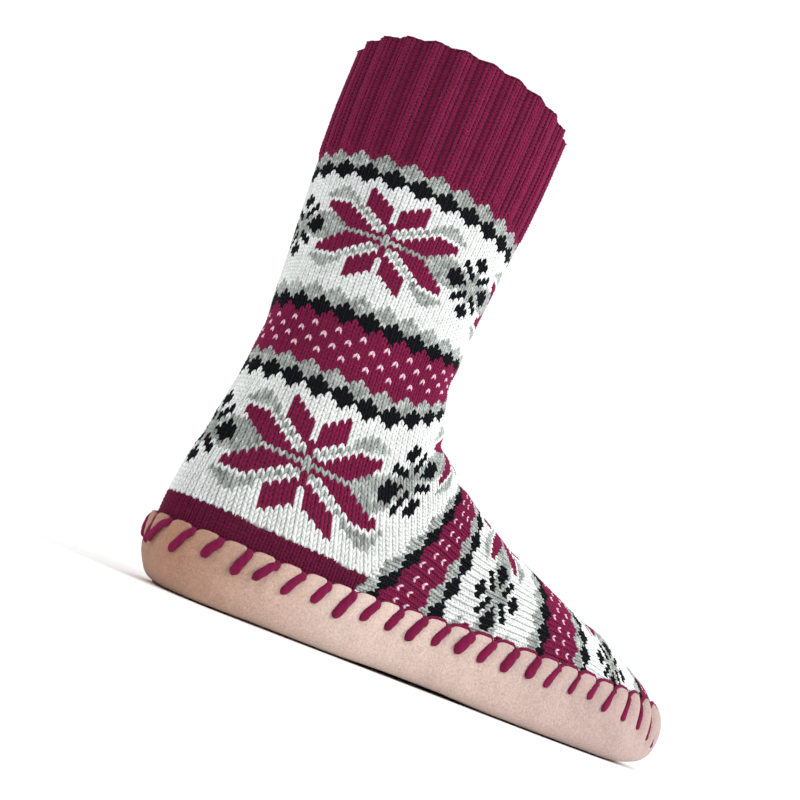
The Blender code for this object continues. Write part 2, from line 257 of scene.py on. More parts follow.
# Finishes, stage, light and camera
# Heel, side and toe: darker and browner towards the heel; the band's toe darker than its side as
# painted shade of the toe's bend
BAND_COLOURS = ((0.385, 0.19, 0.115), (0.67, 0.52, 0.455), (0.47, 0.34, 0.31))
PANEL_COLOURS = ((0.40, 0.23, 0.165), (0.54, 0.36, 0.31), (0.42, 0.27, 0.235))
HEEL_COLOUR_ENDS, TOE_COLOUR_STARTS = (-0.125, -0.055), (-0.045, 0.07)  # metres
FELT, THREAD, RUBBER = (0.5, 0.47, 0.44), (0.13, 0.075, 0.045), (0.42, 0.13, 0.05)
WHITE = (1, 1, 1, 1)
FLOOR_SIDES, FLOOR_RINGS = 72, (0.3, 1, 3, 12)
WORLD_LIGHT = 1.05
LIT = (0, 0, 0.1)  # where the lights point
CAMERA_AT, CAMERA_TARGET = (-0.244, -0.417, 0.02), (-0.0391, 0.0217, 0.1089)
CAMERA_ROLL, CAMERA_LENS = 22, 51


def smooth_step(value, low, high):
    """0 below low, 1 above high, and a soft rise between."""
    t = np.clip((value - low) / (high - low), 0, 1)
    return t * t * (3 - 2 * t)


def between(pair, share):
    """From the first of a pair at share 0 to the second at share 1."""
    return pair[0] + (pair[1] - pair[0]) * share


def unit(vectors):
    return vectors / np.maximum(np.linalg.norm(vectors, axis=-1, keepdims=True), 1e-9)


def arc_length(points):
    """How far along a line of points each of them lies."""
    steps = np.linalg.norm(np.diff(points, axis=0), axis=-1)
    return np.concatenate([np.zeros_like(steps[:1]), np.cumsum(steps, axis=0)])


def interpolated(at, knots, values):
    """Values between knots, for every column of values."""
    return np.stack([np.interp(at, knots, column) for column in values.T], axis=-1)


def evenly(points, count):
    """That many points along a line of points, evenly spaced."""
    length = arc_length(points)
    return interpolated(np.linspace(0, length[-1], count), length, points)


def full_turn(count):
    """Angles evenly round a circle."""
    return np.linspace(0, 2 * math.pi, count, endpoint=False)


def circle(radius, z, turn):
    """A level circle's points."""
    return np.column_stack([radius * np.cos(turn), radius * np.sin(turn), np.full(len(turn), z)])


def loop_steps(loop, axis=0):
    """From each point's neighbour before to the one after, round a closed loop."""
    return np.roll(loop, -1, axis=axis) - np.roll(loop, 1, axis=axis)


# ---- the knit's surface


def bottom_z(x):
    """The height of the surface's underside."""
    heel = HEEL_RISE * np.clip((HEEL_CURVE - x) / HEEL_CURVE, 0, 1) ** 2
    arch = ARCH_RISE * smooth_step(x, *ARCH_STARTS) * (1 - smooth_step(x, *ARCH_ENDS))
    toe = TOE_RISE * np.clip((x - TOE_FROM) / TOE_CURVE, 0, 1) ** 2
    return FLAT_Z + heel + arch + toe


def over_bottom(points):
    """How high points lie over the underside."""
    return points[..., 2] - bottom_z(points[..., 0])


def band_top_z(x):
    """The height of the suede's top edge, apart from its scallops."""
    rise = (BAND_TOP_BALL - BAND_TOP_HEEL) * smooth_step(x, *BAND_RISES)
    fall = (BAND_TOP_BALL - BAND_TOP_TOE) * smooth_step(x, *BAND_FALLS)
    return BAND_TOP_HEEL + rise - fall


def catmull_rom(knots, values, at):
    """A smooth curve through values at knots, for every column of values."""
    slopes = np.gradient(values, knots, axis=0)
    i = np.clip(np.searchsorted(knots, at, side="right") - 1, 0, len(knots) - 2)
    span = (knots[i + 1] - knots[i])[:, None]
    t = (at - knots[i])[:, None] / span
    start = values[i] * (2 * t**3 - 3 * t**2 + 1) + slopes[i] * span * (t**3 - 2 * t**2 + t)
    end = values[i + 1] * (3 * t**2 - 2 * t**3) + slopes[i + 1] * span * (t**3 - t**2)
    return start + end


def smooth_sections():
    """The sections' numbers at SWEEP places down the sweep."""
    table = np.array(SECTIONS, dtype=float)
    missing = np.isnan(table[:, 1])
    table[missing, 1] = bottom_z(table[missing, 0]) - BOTTOM_CUT
    back, front = table[:, 0:2], table[:, 2:4]
    place = 0.5 * (arc_length(back) + arc_length(0.5 * (back + front)))
    return catmull_rom(place, table, np.linspace(0, place[-1], SWEEP))


def half_ring(section, turn):
    """Points of one section from the front over +Y to the back, evenly spaced."""
    back_x, back_z, front_x, front_z, half_width, wide_at, back_square, front_square = section
    c, s = np.cos(turn), np.sin(turn)
    square = np.where(c > 0, front_square, back_square)
    reach = np.abs(c) ** (2 / square)
    along = np.where(c > 0, wide_at + (1 - wide_at) * reach, wide_at * (1 - reach))
    x = back_x + (front_x - back_x) * along
    y = half_width * np.abs(s) ** (2 / square)
    z = back_z + (front_z - back_z) * along
    floor = bottom_z(x)
    over = z - floor
    blend = np.clip(over + BOTTOM_BLEND, 0, None) ** 2 / (4 * BOTTOM_BLEND)
    z = floor + np.where(over > BOTTOM_BLEND, over, blend)
    return evenly(np.stack([x, y, z], axis=1), TURNS)


def grid_normals(points):
    """Outward normals of the half surface, which lie in the plane of symmetry at both its edges."""
    normals = np.cross(np.gradient(points, axis=0), np.gradient(points, axis=1))
    normals[:, [0, -1], 1] = 0
    return unit(normals)


def crease_depth(points):
    """How far the creases push each point in."""
    depth = np.zeros(points.shape[:2])
    share = np.linspace(0, 1, TURNS)
    for x, z, angle, deep, width, fade in CREASES:
        a = math.radians(angle)
        across = (points[..., 2] - z) * math.cos(a) - (points[..., 0] - x) * math.sin(a)
        around = 1 - smooth_step(share, CREASE_WHOLE * fade, fade) if fade < 1 else 1
        depth += deep * np.exp(-((across / width) ** 2)) * around
    return depth


def knit_surface():
    """The half surface, down the sweep by round from the front, and its outward normals."""
    turn = np.linspace(0, np.pi, FINE_TURNS)
    points = np.array([half_ring(section, turn) for section in smooth_sections()])
    last = points[-1]
    closing = []
    for share in TIP_RINGS:
        ring = between((TIP, last), math.sqrt(1 - share**2))
        ring[:, 0] = between((last[:, 0], TIP[0]), share)
        closing.append(ring)
    points = np.concatenate([points, closing])
    points = points - grid_normals(points) * crease_depth(points)[..., None]
    return points, grid_normals(points)


surface, surface_normals = knit_surface()


# ---- rows, wales and yarns


def band_ends(bands, first):
    """The rows up to each band's end and the values there, from the first line on."""
    counts = np.cumsum([0] + [band[1] for band in bands])
    return counts, np.array([first] + [band[2:] for band in bands])


def leg_rows():
    """The values of LEG_BANDS for every line of the leg."""
    counts, values = band_ends(LEG_BANDS, COLLAR)
    return interpolated(np.arange(counts[-1] + 1), counts, values)


def foot_rows():
    """For each line of the foot: its x at the gore tip's height, and its tilt."""
    counts, values = band_ends(FOOT_BANDS, (GORE_X, START_TILT))
    return catmull_rom(counts, values, np.arange(1, counts[-1] + 1))


def leg_gap(row, points):
    """How far each point lies above a line of the leg."""
    side_z, back_slope, front_z, front_x, rise_from, power = row
    x = points[..., 0]
    rise = np.clip((x - rise_from) / (front_x - rise_from), 0, RISE_LIMIT) ** power
    height = side_z + back_slope * (x - GORE_X) + (front_z - side_z) * rise
    return points[..., 2] - height


def foot_gap(row, points):
    """How far each point lies behind a line of the foot."""
    x_at_gore, tilt = row
    line = x_at_gore + (points[..., 2] - GORE_Z) / math.tan(math.radians(tilt))
    return line - points[..., 0]


def crossing(gap):
    """Where the gap first falls under zero on each line down the sweep, as a fractional section."""
    below = gap[1:] <= 0
    first = np.where(below.any(axis=0), below.argmax(axis=0), len(gap) - 2)
    j = np.arange(gap.shape[1])
    high, low = gap[first, j], gap[first + 1, j]
    share = np.clip(high / np.where(high - low == 0, 1, high - low), 0, 1)
    return first + share


def sample(grid, row, column):
    """Bilinear values of a grid."""
    i, j = (
        np.clip(np.floor(at).astype(int), 0, size - 2)
        for at, size in zip((row, column), grid.shape)
    )
    a, b = (row - i)[..., None], (column - j)[..., None]
    top = between((grid[i, j], grid[i, j + 1]), b)
    return between((top, between((grid[i + 1, j], grid[i + 1, j + 1]), b)), a)


def lattice():
    """Where every line of rows crosses each line down the sweep, and which wale lies there."""
    leg = leg_rows()
    gaps = [leg_gap(row, surface) for row in leg] + [foot_gap(row, surface) for row in foot_rows()]
    sections = np.array([crossing(gap) for gap in gaps])
    rows = [sample(surface, section, np.arange(TURNS)) for section in sections]
    shares = [length / length[-1] for length in map(arc_length, rows)]
    last = len(leg) - 1
    number = np.arange(len(sections))
    knee_wale = between((GORE_WALE, FOOT_WALE), smooth_step(number - last, *KNEE_BLEND))
    even = knee_wale / (0.5 * WALES)
    knee_leg = np.interp(-GORE_X, -rows[last][:, 0], shares[last])
    knee_foot = [np.interp(-GORE_Z, -row[:, 2], share) for row, share in zip(rows, shares)]
    on_leg = smooth_step(number, last - GORE_BLEND, last) * (knee_leg - even)
    on_foot = (1 - smooth_step(number - last, *TOE_BLEND)) * (knee_foot - even)
    knee = even + np.where(number <= last, on_leg, on_foot)
    wales = [
        np.interp(share, [0, at, 1], [0, wale, 0.5 * WALES])
        for share, at, wale in zip(shares, knee, knee_wale)
    ]
    return sections, np.array(wales), last


row_sections, row_wales, LAST_LEG_LINE = lattice()
LINES = len(row_sections)
BANDS = [band[:2] for band in LEG_BANDS + FOOT_BANDS]
ROWS = [(k, within) for k, (_, count) in enumerate(BANDS) for within in range(count)]
CUFF_ROWS = LEG_BANDS[0][1]
ALL_WALES = np.arange(-WALES // 2, WALES // 2)


def yarn(band, within, wale):
    """The yarn of one stitch, as a letter."""
    late = ZIGZAG[wale % len(ZIGZAG)]
    (name, _), (before, _) = BANDS[band], BANDS[band - 1]  # the toe's before the cuff's
    if name == "zigzag":
        if within < late:
            return "." if before == "star" else "M"
        return "g" if within < ZIGZAG_GREY - late else "k"
    if before == "zigzag" and within < late:
        return "k"
    if name == "star":
        out = abs(within - STAR_MIDDLE)
        from_star = abs((wale + REPEAT // 2) % REPEAT - REPEAT // 2)
        return STAR_CHART[out][from_star] if out < len(STAR_CHART) else "."
    return "p" if name == "lice" and within in LICE.get(late, ()) else "M"


YARN_TABLE = np.array([[YARNS[yarn(*row, wale)] for wale in ALL_WALES] for row in ROWS])


def yarn_colours(rows, wales):
    """The yarns' colours at rows and wales that may lie between stitches."""
    row = np.clip(np.floor(rows).astype(int), 0, len(ROWS) - 1)
    wale = (np.round(wales).astype(int) + WALES // 2) % WALES
    return YARN_TABLE[row, wale]


def rib_height(rows, wales):
    """The cuff's two by two rib, proud and sunk."""
    fade = 1 - smooth_step(rows - CUFF_ROWS, *RIB_FADE)
    return RIB_DEPTH * np.sin(0.5 * np.pi * (wales + 0.5)) * fade


def lattice_table(grid):
    """A grid's values at every line of rows and every half wale of the half surface."""
    halves, turns = np.arange(WALES + 1) / 2, np.arange(TURNS)
    table = []
    for sections, wales in zip(row_sections, row_wales):
        turn = np.interp(halves, wales, turns)
        table.append(sample(grid, np.interp(turn, turns, sections), turn))
    return np.array(table)


LATTICE, LATTICE_OUT = lattice_table(surface), lattice_table(surface_normals)


def on_lattice(rows, wales):
    """The point at a row and a wale of either side."""
    wales = (wales + WALES / 2) % WALES - WALES / 2
    half = 2 * np.abs(wales)
    rib = rib_height(rows, wales)[:, None]
    point = sample(LATTICE, rows, half) + sample(LATTICE_OUT, rows, half) * rib
    point[:, 1] *= np.where(wales < 0, -1, 1)
    return point


def one_wale(rows, wales):
    """The vectors of one wale round."""
    return on_lattice(rows, wales + 0.5) - on_lattice(rows, wales - 0.5)


def stitch_frames(rows, wales):
    """Each stitch's middle, and the vectors of one wale round and of one row up."""
    upper = np.maximum(rows - 0.5, 0)
    up = (on_lattice(upper, wales) - on_lattice(rows + 0.5, wales)) / (rows + 0.5 - upper)[:, None]
    return on_lattice(rows, wales), one_wale(rows, wales), up


# ---- meshes


def new_object(name, data):
    obj = bpy.data.objects.new(name, data)
    bpy.context.scene.collection.objects.link(obj)
    return obj


def add_object(name, points, face_sets, colours=None):
    """A smooth mesh from points in millimetres and arrays of quads or triangles."""
    mesh = bpy.data.meshes.new(name)
    used = np.unique(np.concatenate([faces.ravel() for faces in face_sets]))
    faces = [face for faces in face_sets for face in np.searchsorted(used, faces).tolist()]
    mesh.from_pydata((points[used] - (CENTRE_X, 0, 0)) * MM, [], faces, shade_flat=False)
    if colours is not None:
        layer = mesh.color_attributes.new("yarn", "FLOAT_COLOR", "POINT")
        rgba = np.ones((len(used), 4), np.float32)
        rgba[:, :3] = np.clip(colours[used], 0, 1)
        layer.data.foreach_set("color", rgba.ravel())
    return new_object(name, mesh)


def settle(obj, material, node, slot):
    """A piece's material, what it rides on and what it replaces; the slot is not used."""
    obj.data.materials.append(material)
    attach(obj, "root")
    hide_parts(node)


def grid_faces(rows, columns, closed_columns=True, closed_rows=False):
    """Quads of a grid of points, row by row."""
    row = np.arange(rows if closed_rows else rows - 1)
    column = np.arange(columns if closed_columns else columns - 1)
    i, j = np.meshgrid(row, column, indexing="ij")
    m, n = (i + 1) % rows, (j + 1) % columns
    corners = [i * columns + j, m * columns + j, m * columns + n, i * columns + n]
    return np.stack([corner.ravel() for corner in corners], axis=1)


def tube(path, steps, normals, wide, thick, turn):
    """Rings round a path with these steps: wide across it, thick along its normals."""
    along = unit(steps)
    across = unit(np.cross(normals, along))
    out = np.cross(along, across)
    ring = across[:, None] * (wide * np.cos(turn))[..., None]
    return path[:, None] + ring + out[:, None] * (thick * np.sin(turn))[..., None]


def closed_tube(rings, tips):
    """A tube's points, quads and triangles, from its rings of points and its two tips."""
    count, sides = rings.shape[:2]
    k = np.arange(sides)
    n, end, tip = (k + 1) % sides, (count - 1) * sides, np.full(sides, count * sides)
    ends = [np.stack([tip, n, k], axis=1), np.stack([tip + 1, end + k, end + n], axis=1)]
    body = grid_faces(count, sides)[:, ::-1]
    return np.concatenate([rings.reshape(-1, 3), tips]), body, np.concatenate(ends)


def joined(shells):
    """Many shells of points, quads and triangles as one: its points and its sets of faces."""
    start, quads, triangles = 0, [], []
    for points, squares, corners in shells:
        quads.append(squares + start)
        triangles.append(corners + start)
        start += len(points)
    points = np.concatenate([shell[0] for shell in shells])
    return points, [np.concatenate(quads), np.concatenate(triangles)]


# ---- the knit


def leg_faces(count):
    """Faces of that many stitch legs: three sides between each two rings, and both ends."""
    sides = np.roll(grid_faces(3, 3)[:, ::-1], 1, axis=1)
    base = (9 * np.arange(count))[:, None, None]
    ends = np.array([(2, 1, 0), (6, 7, 8)])
    return [(faces + base).reshape(-1, faces.shape[1]) for faces in (sides, ends)]


def hollowed(colours, shade):
    """Colours in the hollows between yarns with painted shade, less so where the yarn is pale."""
    palest = colours.min(axis=-1, keepdims=True)
    return colours * (shade + (1 - shade) * HOLLOW_FILL * palest)


def stitch_mesh(name, frames, colours):
    """Stitches as pairs of slanted legs, from their places and their wale and row vectors."""
    point, along, up = frames
    normal = unit(np.cross(along, up))
    count = len(point)
    melange = np.isclose(colours, YARNS["g"]).all(axis=1, keepdims=True)
    colours = colours * (1 + melange * rng.normal(MELANGE_PALE, MELANGE, (count, 1)))
    legs, tints = [], []
    for side in (-1, 1):
        centres = []
        for across, high, _, _ in LEG_RINGS:
            jitter = rng.normal(0, JITTER, (count, 2))
            centre = point + along * (side * across + jitter[:, :1]) + up * (high + jitter[:, 1:])
            centres.append(centre)
        sideways = unit(np.cross(normal, centres[2] - centres[0]))
        width = rng.normal(1, WIDTH_SPREAD, (count, 1))
        tall = rng.normal(1, RIDGE_SPREAD, (count, 1))
        shade = rng.normal(1, SHADE_SPREAD, (count, 1))
        shade = shade + melange * rng.normal(0, MELANGE, (count, 1))
        # Painted shade: each leg darker at its foot and at the ends of its ridge
        root = hollowed(colours, ROOT_SHADE) * shade
        verts, dark = [], []
        for (_, _, half, ridge), centre in zip(LEG_RINGS, centres):
            foot, reach = centre + normal * LEG_FOOT, sideways * half * width
            crown = between((SIDE_SHADE, 1), ridge / LEG_RINGS[1][3])
            verts += [foot + reach, centre + normal * ridge * tall, foot - reach]
            dark += [root, colours * shade * crown, root]
        legs.append(np.stack(verts, axis=1))
        tints.append(np.stack(dark, axis=1))
    verts, tints = (np.concatenate(part).reshape(-1, 3) for part in (legs, tints))
    return add_object(name, verts, leg_faces(2 * count), tints)


def stitch_places(first, last):
    """The rows and wales of the stitches between two lines."""
    rows = np.arange(first, last) + 0.5
    return np.repeat(rows, WALES), np.tile(ALL_WALES, len(rows))


def at_gore(rows, wales, margin):
    """Where the heel's wedge leaves no room for the foot's first row."""
    return (np.floor(rows) == LAST_LEG_LINE) & (np.abs(wales) > GORE_WALE - margin)


def knit_piece(name, first, last):
    """The stitches of some rows that the suede leaves bare, with a few rows under its edge."""
    rows, wales = stitch_places(first, last)
    frames = stitch_frames(rows, wales)
    x, _, z = frames[0].T
    keep = (z > band_top_z(x) - UNDER_SUEDE) & ~at_gore(rows, wales, 0.5)
    return stitch_mesh(name, [part[keep] for part in frames], yarn_colours(rows, wales)[keep])


def cuff_piece():
    """The ribbed cuff: knit wales proud, and purl wales sunk with bars across them."""
    rows, wales = stitch_places(0, CUFF_ROWS)
    point, along, up = stitch_frames(rows, wales)
    purl = (rib_height(rows, wales) < -0.1 * RIB_DEPTH)[:, None]
    side = np.where(purl, -PURL_WIDE * up, along)
    rise = np.where(purl, PURL_TALL * along, up)
    # Purl wales darker: painted shade in the rib's valleys
    colours = yarn_colours(rows, wales) * np.where(purl, PURL_SHADE, 1)
    return stitch_mesh("knit_cuff", (point, side, rise), colours)


def rim_piece():
    """The chain of cast-on stitches along the collar."""
    rows = np.zeros(WALES)
    along = one_wale(rows, ALL_WALES)
    outward = unit(np.cross(along, UP))
    point = on_lattice(rows, ALL_WALES) - outward * 0.5 * LINING_DEPTH + RIM_RISE * UP
    return stitch_mesh("knit_rim", (point, outward * RIM_WIDE, along * RIM_LONG), MAGENTA)


def heel_piece():
    """The plain wedge of the heel between the last line of the leg and the suede."""
    last_leg, first_foot = leg_rows()[-1], foot_rows()[0]
    at, turns = np.arange(0.5 * HEEL_WALE, HEEL_REACH, HEEL_WALE), np.arange(TURNS)
    stitches = []
    for z in np.arange(HEEL_TOP, BAND_TOP_HEEL - UNDER_SUEDE, -HEEL_ROW):
        section = crossing(surface[..., 2] - z)
        ring, outward = (sample(grid, section, turns)[::-1] for grid in (surface, surface_normals))
        length = arc_length(ring)
        point, normal = (interpolated(at, length, values) for values in (ring, outward))
        wedge = (leg_gap(last_leg, point) < -HEEL_GAP * HEEL_ROW) & (point[:, 0] < GORE_X)
        wedge &= foot_gap(first_foot, point) > 0
        point, normal = point[wedge], unit(normal[wedge])
        up = unit(UP - normal * normal[:, 2:])
        for sign in (1, -1):
            mirror = np.array([1, sign, 1])
            side = np.cross(up * mirror, normal * mirror) * HEEL_WALE
            stitches.append((point * mirror, side, up * mirror * HEEL_ROW))
    frames = tuple(np.concatenate(part) for part in zip(*stitches))
    # The wedge's magenta darker: painted shade
    return stitch_mesh("knit_heel", frames, MAGENTA * HEEL_SHADE)


def open_edges(quads):
    """The directed edges of quads that no other quad shares."""
    edges = np.concatenate([quads[:, [k, (k + 1) % 4]] for k in range(4)])
    count = quads.max() + 1
    return edges[~np.isin(edges[:, 0] * count + edges[:, 1], edges[:, 1] * count + edges[:, 0])]


def ground_piece():
    """The knit's ground behind the stitches: outside, rim and lining, open underneath."""
    down = np.linspace(0, len(surface) - 1, GROUND_DOWN)
    half = np.linspace(0, TURNS - 1, GROUND_ROUND // 2 + 1)
    turn = np.concatenate([half, half[-2:0:-1]])
    side = np.where(np.arange(GROUND_ROUND) > GROUND_ROUND // 2, -1, 1)
    i, j = np.meshgrid(down, turn, indexing="ij")
    points, outward = (sample(grid, i, j) for grid in (surface, surface_normals))
    points[..., 1] *= side
    outward[..., 1] *= side
    rows, wales = np.empty(i.shape), np.empty(i.shape)
    for column, at in enumerate(np.round(turn).astype(int)):
        rows[:, column] = np.interp(down, row_sections[:, at], np.arange(LINES))
        wales[:, column] = np.interp(down, row_sections[:, at], row_wales[:, at]) * side[column]
    rib = rib_height(rows, wales)[..., None]
    colours = yarn_colours(rows, wales)
    colours[at_gore(rows, wales, 1)] = YARNS["M"]
    outside, lining = (
        (points + outward * (rib - depth)).reshape(-1, 3)
        for depth in (KNIT_DEPTH, KNIT_DEPTH + LINING_DEPTH)
    )
    grid = grid_faces(GROUND_DOWN, GROUND_ROUND)
    grid = grid[(over_bottom(points).ravel()[grid] > GROUND_STOP).all(axis=1)]
    count = len(outside)
    border = open_edges(grid)
    border = border[(border >= GROUND_ROUND).any(axis=1)]
    hem = np.column_stack([border[:, ::-1], border + count])
    first = np.arange(GROUND_ROUND)
    rim = [
        between((outside[first], lining[first]), share) + RIM_RISE * math.sin(math.pi * share) * UP
        for share in RIM_RINGS
    ]
    starts = [0] + [2 * count + GROUND_ROUND * k for k in range(len(rim))] + [count]
    rim_rows = np.concatenate([start + first for start in starts])
    rim_faces = rim_rows[grid_faces(len(starts), GROUND_ROUND)][:, ::-1]
    colours = colours.reshape(-1, 3)
    # Painted shade: the ground darker in the holes, and the lining and the rim darker than their
    # yarn
    tints = [hollowed(colours, HOLE_SHADE), colours * LINING_SHADE]
    tints += [colours[first] * RIM_SHADE] * len(rim)
    quads = np.concatenate([grid, grid[:, ::-1] + count, hem, rim_faces])
    points = np.concatenate([outside, lining] + rim)
    return add_object("knit_ground", points, [quads], np.concatenate(tints))


# ---- suede


def smoothed(loop, spread):
    """A closed loop of values after a soft average over neighbours."""
    reach = int(3 * spread)
    weights = np.exp(-0.5 * (np.arange(-reach, reach + 1) / spread) ** 2)
    weights /= weights.sum()
    return sum(w * np.roll(loop, k, axis=0) for k, w in zip(range(-reach, reach + 1), weights))


def foot_outline(count):
    """The foot's outline a little way up, from the heel round by +Y, and its outward directions."""
    side = []
    for ring, height in zip(surface, over_bottom(surface) - OUTLINE_UP):
        falls = np.nonzero((height[:-1] > 0) & (height[1:] <= 0))[0]
        if len(falls):
            k = falls[-1]
            share = height[k] / (height[k] - height[k + 1])
            side.append(between(ring[k : k + 2, :2], share))
    side = np.concatenate([[(side[0][0] - HEEL_TIP, 0)], side, [(TIP[0], 0)]])
    even = evenly(side, count // 2 + 1)
    loop = smoothed(np.concatenate([even, even[-2:0:-1] * (1, -1)]), count / OUTLINE_SOFT)
    loop = np.column_stack([loop, np.zeros(count)])
    return loop, unit(np.cross(UP, loop_steps(loop)))


def surface_tree():
    """The knit's surface, both halves, to cast rays on."""
    tip = np.broadcast_to(TIP, (1, TURNS, 3))
    half = np.concatenate([surface[:SWEEP:2], surface[SWEEP:], tip])[:, ::2]
    faces = grid_faces(*half.shape[:2], closed_columns=False)
    flat = half.reshape(-1, 3)
    both = np.concatenate([flat, flat * (1, -1, 1)])
    return BVHTree.FromPolygons(both.tolist(), np.concatenate([faces, faces + len(flat)]).tolist())


# Stitches from the heel's to each column of the band, the same on both sides
FROM_HEEL = np.minimum(np.arange(BAND_AROUND), np.arange(BAND_AROUND, 0, -1)) / COLUMNS


def edge_z(x):
    """The height of the suede's scalloped top edge, for every column."""
    toe = smooth_step(x, *GATHERED)
    lean = 2 * (FROM_HEEL % 1) ** TAB_LEAN - 1
    tab = 1 - np.abs(lean) ** between(TAB_POWER, toe)
    return band_top_z(x) + between(SCALLOP, toe) * (tab - TAB_LEVEL)


def band_base():
    """The knit's surface where the suede lies, from its top edge down and under to the seam."""
    tree = surface_tree()
    loop, outward = foot_outline(BAND_AROUND)
    centre = loop - outward * SEAM_INSET
    low = bottom_z(centre[:, 0]) + OUTLINE_UP
    top = edge_z(loop[:, 0])
    rows = []
    for share in np.linspace(1, 0, PROFILE_UP) ** PROFILE_POWER:
        rows.append((centre + np.outer(between((low, top), share), UP), outward))
    start = centre + np.outer(low, UP)
    for angle in np.linspace(0, 0.5 * math.pi, PROFILE_UNDER + 1)[1:]:
        rows.append((start, outward * math.cos(angle) - UP * math.sin(angle)))
    base = []
    for rays in rows:
        line = []
        for at, way in zip(*rays):
            hit = tree.ray_cast(Vector(at), Vector(way))[0]
            line.append(at + way * SEAM_INSET if hit is None else hit)
        base.append(line)
    base = np.array(base)
    down = np.gradient(base, axis=0)
    return base, unit(np.cross(loop_steps(base, axis=1), down))


band_surface, band_normals = band_base()


def band_puff(depth, toe):
    """How far the suede stands off where the stitches gather it."""
    phase = (FROM_HEEL + between(STITCH_SLANT, toe) * depth / STITCH_PITCH) % 1
    from_leg = np.minimum(phase, 1 - phase) * STITCH_PITCH
    groove = between(GROOVE_DEEP, toe) * np.exp(-((from_leg / GROOVE_WIDE) ** 2))
    tab = between(TAB_PUFF, toe) * np.sin(math.pi * phase) ** 2
    fold = between(FOLD_PUFF, toe) * np.exp(-(((phase - FOLD_PHASE) / FOLD_WIDE) ** 2))
    reach = depth / between(GATHER_REACH, toe)
    held = 1 - smooth_step(reach, *GROOVE_ENDS)
    gather = 1 - smooth_step(reach, *PUFF_ENDS)
    hem = between(HEM_DEEP, toe) * np.exp(-((depth / HEM_WIDE) ** 2))
    return (tab + fold) * gather - groove * held - hem


def band_outside():
    """The suede's outer face: its points and their depths under the top edge."""
    depth = arc_length(band_surface)
    side = 1 - smooth_step(-band_normals[..., 2], *UNDER_FACES)
    puff = band_puff(depth, smooth_step(band_surface[..., 0], *GATHERED))
    ripple = np.sin(0.9 * FROM_HEEL + 0.11 * depth)
    ripple *= np.sin(2.3 * FROM_HEEL - 0.21 * depth + 0.8)
    offset = between((UNDER_OFFSET, BAND_OFFSET), side) + (puff + RIPPLE * ripple) * side
    return band_surface + band_normals * offset[..., None], depth


band_outer, band_depth = band_outside()
band_inner = band_surface + band_normals * (BAND_OFFSET - SUEDE_WALL)
half_gap = 0.5 * (band_outer - band_inner)
band_middle, half_wall = band_inner + half_gap, np.linalg.norm(half_gap, axis=2)
edge_x = band_surface[0, :, 0]
edge_out, edge_up = unit(half_gap[0]), unit(band_surface[0] - band_surface[2])


def band_edge(level, way, turns):
    """The rounded edge of the suede's wall, from its outside to its inside."""
    up = way * half_wall[level][:, None]
    return [band_middle[level] + half_gap[level] * math.cos(t) + up * math.sin(t) for t in turns]


def band_piece():
    """The suede round the side as one closed skin with a wall and rounded edges."""
    inward = unit(band_surface[-1] - band_surface[-2])
    top, seam = band_edge(0, edge_up, EDGE_TURNS), band_edge(-1, inward, EDGE_TURNS[::-1])
    sheet = np.concatenate([band_outer[::-1], top, band_inner[BACKING_ROWS], seam])
    faces = grid_faces(len(sheet), BAND_AROUND, closed_rows=True)
    return add_object("suede_side_band", sheet.reshape(-1, 3), [faces])


def on_band(position, depth):
    """Points on the suede's outside and their normals, from places in columns and depths."""
    columns = position % BAND_AROUND
    j = columns.astype(int)
    share = (columns - j)[:, None]
    found = []
    for grid in (band_outer, band_normals):
        both = [
            np.array([interpolated(d, band_depth[:, c], grid[:, c]) for d, c in zip(depth, k)])
            for k in (j, (j + 1) % BAND_AROUND)
        ]
        found.append(both[0] * (1 - share) + both[1] * share)
    return found[0], unit(found[1])


def leg_path(column, long, wide, lean, ways):
    """A leg's path from behind the suede's edge and down its outside, its normals and thinning."""
    lift = LEG_LIFT * wide
    around = half_wall[0, column] + lift
    depth = ways * (LEG_OVER * around + long) - LEG_OVER * around
    place = column - lean * np.maximum(depth, 0) / STITCH_PITCH * COLUMNS
    path, normal = on_band(place, np.maximum(depth, 0))
    left = np.clip((long - depth) / (1.1 * wide), 0, 1)
    round_end = np.sqrt(np.clip(1 - (1 - left) ** 2, 0, 1))
    path = path + normal * (lift * between((0.15, 1), round_end))[:, None]
    over = np.clip(-depth / around, 0, LEG_OVER)
    arc = edge_out[column] * np.cos(over)[:, None] + edge_up[column] * np.sin(over)[:, None]
    behind = depth < 0
    path[behind] = (band_middle[0, column] + arc * around)[behind]
    normal[behind] = arc[behind]
    return path, normal, np.maximum(round_end, 0.05)[:, None]


